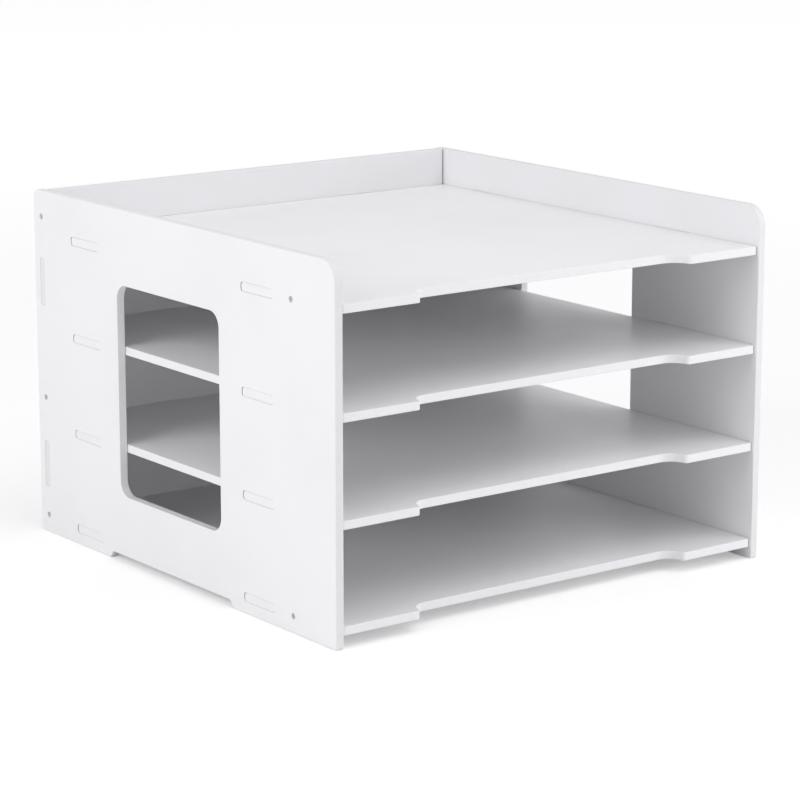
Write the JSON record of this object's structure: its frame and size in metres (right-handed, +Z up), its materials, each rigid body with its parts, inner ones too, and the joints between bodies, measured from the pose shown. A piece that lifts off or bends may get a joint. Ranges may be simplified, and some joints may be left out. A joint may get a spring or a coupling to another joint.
{
  "type": "tiered document organizer",
  "caption": "Desktop document organizer with fixed open tiers between two windowed side panels and a full back, joined by tabs in slots and small screws.",
  "frame": {"origin": "on the floor, under the middle of the outer box", "axes": "+X to the right as seen from the open front, +Y towards the back panel, +Z up"},
  "size_m": [0.308, 0.312, 0.212],
  "materials": {
    "foam_board": "satin white foamed plastic board, smooth on its faces and slightly duller on its cut edges",
    "screw_steel": "zinc plated, dull"
  },
  "bodies": {
    "root": {"left_side_panel": "foam_board", "right_side_panel": "foam_board", "back_panel": "foam_board", "bottom_shelf": "foam_board", "lower_shelf": "foam_board", "upper_shelf": "foam_board", "top_shelf": "foam_board", "left_shelf_screws": "screw_steel", "left_back_screws": "screw_steel", "right_shelf_screws": "screw_steel", "right_back_screws": "screw_steel"}
  },
  "joints": []
}
